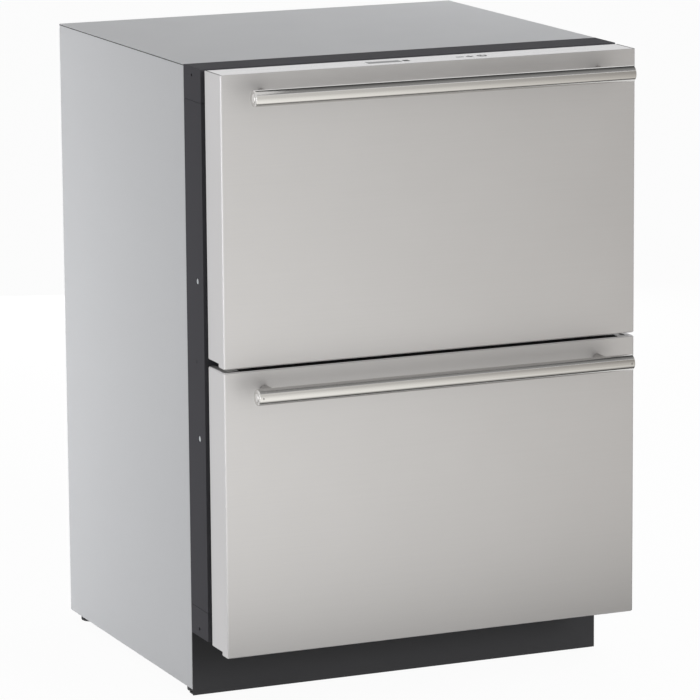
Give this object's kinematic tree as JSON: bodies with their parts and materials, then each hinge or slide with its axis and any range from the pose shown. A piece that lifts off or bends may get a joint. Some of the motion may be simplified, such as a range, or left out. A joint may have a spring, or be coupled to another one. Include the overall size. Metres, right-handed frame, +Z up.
{
  "type": "undercounter drawer refrigerator",
  "caption": "Undercounter refrigerator with stacked steel-faced drawers, round bar handles, a black front frame, a silver cabinet, levelling feet and its cooling machinery.",
  "frame": {"origin": "on the floor, below the middle of the overall box", "axes": "+X to the right of someone who faces the drawers, -Y out of the drawers' faces, +Z up"},
  "size_m": [0.608, 0.664, 0.867],
  "materials": {
    "silver_paint": "satin",
    "galvanized_steel": "satin",
    "black_frame": "satin",
    "kick_plate_paint": "satin",
    "brushed_steel": "satin",
    "polished_steel": "gloss",
    "white_plastic": "satin",
    "foamed_panel": "satin",
    "foam": "matte",
    "gasket_rubber": "matte",
    "black_plastic": "matte",
    "control_strip": "satin",
    "display_glass": "gloss",
    "lamp": "satin",
    "compressor_paint": "satin",
    "motor_housing": "satin",
    "copper_coil": "satin",
    "aluminium_coil": "satin",
    "fan_aluminium": "satin"
  },
  "bodies": {
    "cabinet": {"left_side_panel": "silver_paint", "right_side_panel": "silver_paint", "top_panel": "silver_paint", "rear_panel": "galvanized_steel", "base_pan": "galvanized_steel", "kick_plate": "kick_plate_paint", "cord_gland": "black_plastic", "insulation_foam": "foam", "inner_liner": "white_plastic", "frame_top_rail": "black_frame", "frame_bottom_rail": "black_frame", "frame_left_stile": "black_frame", "frame_right_stile": "black_frame", "center_mullion": "black_frame", "frame_screw_left_upper": "galvanized_steel", "frame_screw_left_lower": "galvanized_steel", "frame_screw_right_upper": "galvanized_steel", "frame_screw_right_lower": "galvanized_steel", "upper_slide_cabinet_rail_left": "galvanized_steel", "upper_slide_cabinet_rail_right": "galvanized_steel", "lower_slide_cabinet_rail_left": "galvanized_steel", "lower_slide_cabinet_rail_right": "galvanized_steel", "compressor": "compressor_paint", "condenser_coil": "copper_coil", "condenser_fan_motor": "motor_housing", "evaporator_cover": "white_plastic", "evaporator_coil": "aluminium_coil", "drain_pan": "black_plastic", "control_box": "black_plastic", "lamp_bar": "lamp"},
    "upper_drawer": {"upper_front_skin": "brushed_steel", "upper_inner_panel": "foamed_panel", "upper_gasket": "gasket_rubber", "upper_tub": "white_plastic", "upper_handle_bar": "polished_steel", "upper_handle_post_left": "polished_steel", "upper_handle_post_right": "polished_steel", "upper_slide_drawer_rail_left": "galvanized_steel", "upper_slide_drawer_rail_right": "galvanized_steel", "control_strip": "control_strip", "display_window": "display_glass"},
    "lower_drawer": {"lower_front_skin": "brushed_steel", "lower_inner_panel": "foamed_panel", "lower_gasket": "gasket_rubber", "lower_tub": "white_plastic", "lower_handle_bar": "polished_steel", "lower_handle_post_left": "polished_steel", "lower_handle_post_right": "polished_steel", "lower_slide_drawer_rail_left": "galvanized_steel", "lower_slide_drawer_rail_right": "galvanized_steel"},
    "upper_slide_middles": {"upper_slide_middle_rail_left": "galvanized_steel", "upper_slide_middle_rail_right": "galvanized_steel"},
    "lower_slide_middles": {"lower_slide_middle_rail_left": "galvanized_steel", "lower_slide_middle_rail_right": "galvanized_steel"},
    "leg_front_left": {"leg_front_left": "black_plastic"},
    "leg_front_right": {"leg_front_right": "black_plastic"},
    "leg_rear_left": {"leg_rear_left": "black_plastic"},
    "leg_rear_right": {"leg_rear_right": "black_plastic"},
    "condenser_fan": {"condenser_fan_blade": "fan_aluminium"},
    "evaporator_fan": {"evaporator_fan_blade": "white_plastic"}
  },
  "joints": [
    {"name": "upper_drawer_slide", "type": "slide", "parent": "cabinet", "child": "upper_drawer", "axis": [0, -1, 0], "range_m": [0, 0.4]},
    {"name": "lower_drawer_slide", "type": "slide", "parent": "cabinet", "child": "lower_drawer", "axis": [0, -1, 0], "range_m": [0, 0.4]},
    {"name": "upper_middle_slide", "type": "slide", "parent": "cabinet", "child": "upper_slide_middles", "axis": [0, -1, 0], "range_m": [0, 0.2]},
    {"name": "lower_middle_slide", "type": "slide", "parent": "cabinet", "child": "lower_slide_middles", "axis": [0, -1, 0], "range_m": [0, 0.2]},
    {"name": "leg_front_left_screw", "type": "slide", "parent": "cabinet", "child": "leg_front_left", "axis": [0, 0, -1], "range_m": [0, 0.025]},
    {"name": "leg_front_right_screw", "type": "slide", "parent": "cabinet", "child": "leg_front_right", "axis": [0, 0, -1], "range_m": [0, 0.025]},
    {"name": "leg_rear_left_screw", "type": "slide", "parent": "cabinet", "child": "leg_rear_left", "axis": [0, 0, -1], "range_m": [0, 0.025]},
    {"name": "leg_rear_right_screw", "type": "slide", "parent": "cabinet", "child": "leg_rear_right", "axis": [0, 0, -1], "range_m": [0, 0.025]},
    {"name": "condenser_fan_spin", "type": "hinge", "parent": "cabinet", "child": "condenser_fan", "pos_m": [0.145, 0.18425, 0.1], "axis": [0, 1, 0], "continuous": true},
    {"name": "evaporator_fan_spin", "type": "hinge", "parent": "cabinet", "child": "evaporator_fan", "pos_m": [0, 0.246, 0.742], "axis": [0, 1, 0], "continuous": true}
  ],
  "couplings": [
    {"joint": "upper_middle_slide", "follows": "upper_drawer_slide", "ratio": 0.5},
    {"joint": "lower_middle_slide", "follows": "lower_drawer_slide", "ratio": 0.5}
  ]
}
